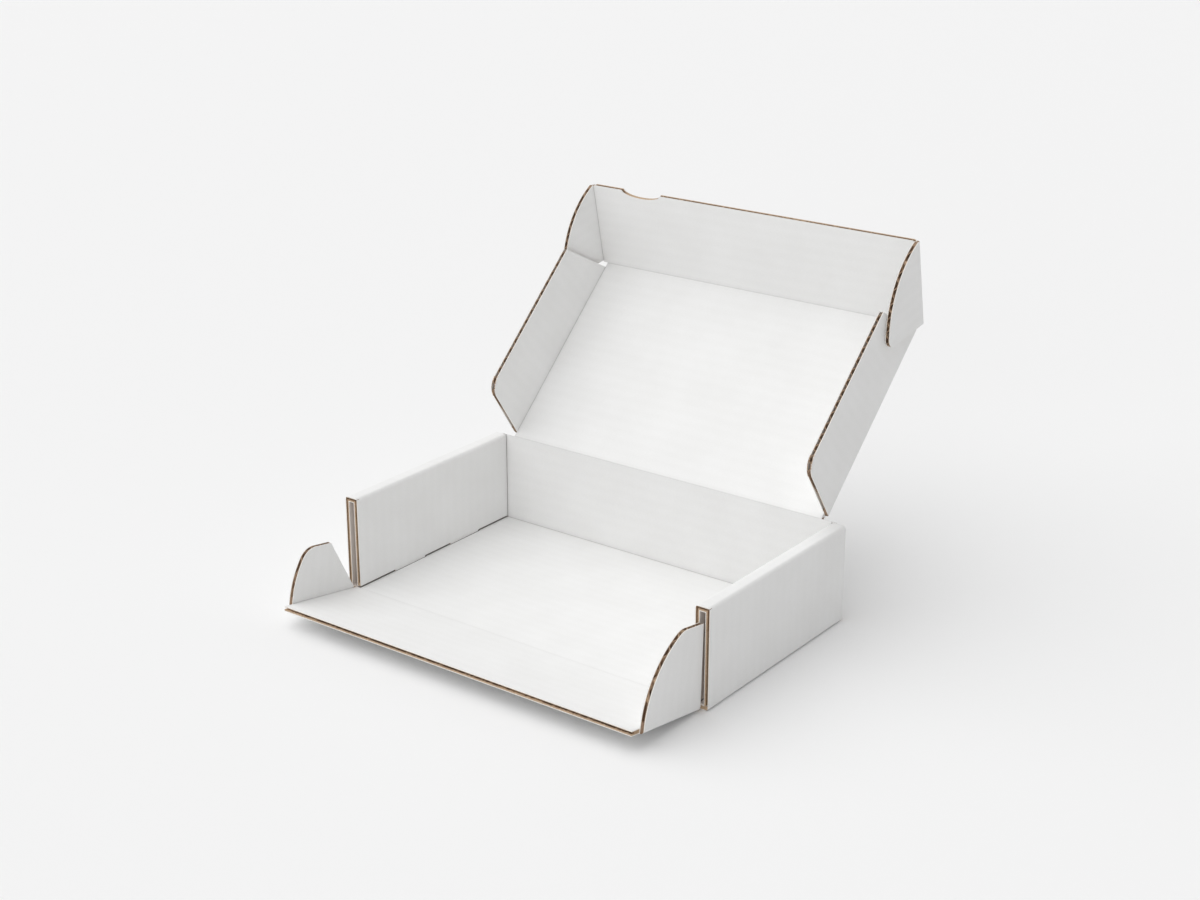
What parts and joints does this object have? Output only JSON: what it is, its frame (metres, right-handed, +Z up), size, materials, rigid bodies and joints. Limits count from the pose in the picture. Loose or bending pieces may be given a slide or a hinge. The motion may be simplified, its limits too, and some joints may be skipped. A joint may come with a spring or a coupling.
{
  "type": "corrugated mailer box",
  "caption": "Shallow white-lined corrugated mailer box shown open: hollow rolled side walls, a hinged lid with side flaps and a tuck front, and a front wall with dust flaps.",
  "frame": {"origin": "centre of the tray's underside, on the surface that the box stands on", "axes": "+Z up, +X to the right along the lid's hinge line, -Y towards the front wall, so +Y is the hinge side"},
  "size_m": [0.23, 0.2661, 0.1831],
  "materials": {
    "board": "matt white liner on both faces, brown fluting at the cut edges"
  },
  "bodies": {
    "tray": {"tray": "board"},
    "front_wall": {"front_wall": "board"},
    "front_ear_left": {"front_ear_left": "board"},
    "front_ear_right": {"front_ear_right": "board"},
    "lid": {"lid": "board"},
    "tuck_flap": {"tuck_flap": "board"},
    "tuck_ear_left": {"tuck_ear_left": "board"},
    "tuck_ear_right": {"tuck_ear_right": "board"}
  },
  "joints": [
    {"name": "lid_hinge", "type": "hinge", "parent": "tray", "child": "lid", "pos_m": [0, 0.0614, 0.0533], "axis": [1, 0, 0], "range_deg": [-43, 137]},
    {"name": "front_wall_fold", "type": "hinge", "parent": "tray", "child": "front_wall", "pos_m": [0, -0.0614, 0.0026], "axis": [-1, 0, 0], "range_deg": [-9, 81]},
    {"name": "front_ear_left_fold", "type": "hinge", "parent": "front_wall", "child": "front_ear_left", "pos_m": [-0.1095, -0.0614, 0.0026], "axis": [0, 0.9877, -0.1564], "range_deg": [-90, 0]},
    {"name": "front_ear_right_fold", "type": "hinge", "parent": "front_wall", "child": "front_ear_right", "pos_m": [0.1095, -0.0614, 0.0026], "axis": [0, -0.9877, 0.1564], "range_deg": [-90, 0]},
    {"name": "tuck_fold", "type": "hinge", "parent": "lid", "child": "tuck_flap", "pos_m": [0, 0.14909, 0.13507], "axis": [1, 0, 0], "range_deg": [-59, 31]},
    {"name": "tuck_ear_left_fold", "type": "hinge", "parent": "tuck_flap", "child": "tuck_ear_left", "pos_m": [-0.1034, 0.14909, 0.13507], "axis": [0, -0.2079, 0.9781], "range_deg": [-90, 0]},
    {"name": "tuck_ear_right_fold", "type": "hinge", "parent": "tuck_flap", "child": "tuck_ear_right", "pos_m": [0.1034, 0.14909, 0.13507], "axis": [0, 0.2079, -0.9781], "range_deg": [-90, 0]}
  ]
}
